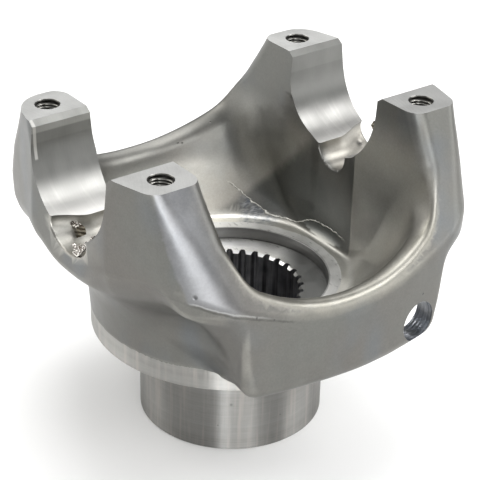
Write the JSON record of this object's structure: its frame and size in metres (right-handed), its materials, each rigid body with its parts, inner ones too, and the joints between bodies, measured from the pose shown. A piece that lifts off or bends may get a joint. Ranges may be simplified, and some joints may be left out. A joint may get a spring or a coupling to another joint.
{
  "type": "forged yoke",
  "caption": "Forged steel end yoke: splined hub, round bowl, and two ears with half-round bearing seats and tapped strap-bolt holes.",
  "frame": {"origin": "centre of the hub's end face, which is the face the part rests on", "axes": "+Z from the hub's end up to the post tops, along the spline axis; +X along the bearing seats' axis; the cross hole is in the pad at -Y"},
  "size_m": [0.1568, 0.16, 0.1399],
  "materials": {
    "forged_steel": "blast-cleaned forging, satin, with bare turned and milled faces"
  },
  "bodies": {
    "root": {"yoke": "forged_steel"}
  },
  "joints": []
}
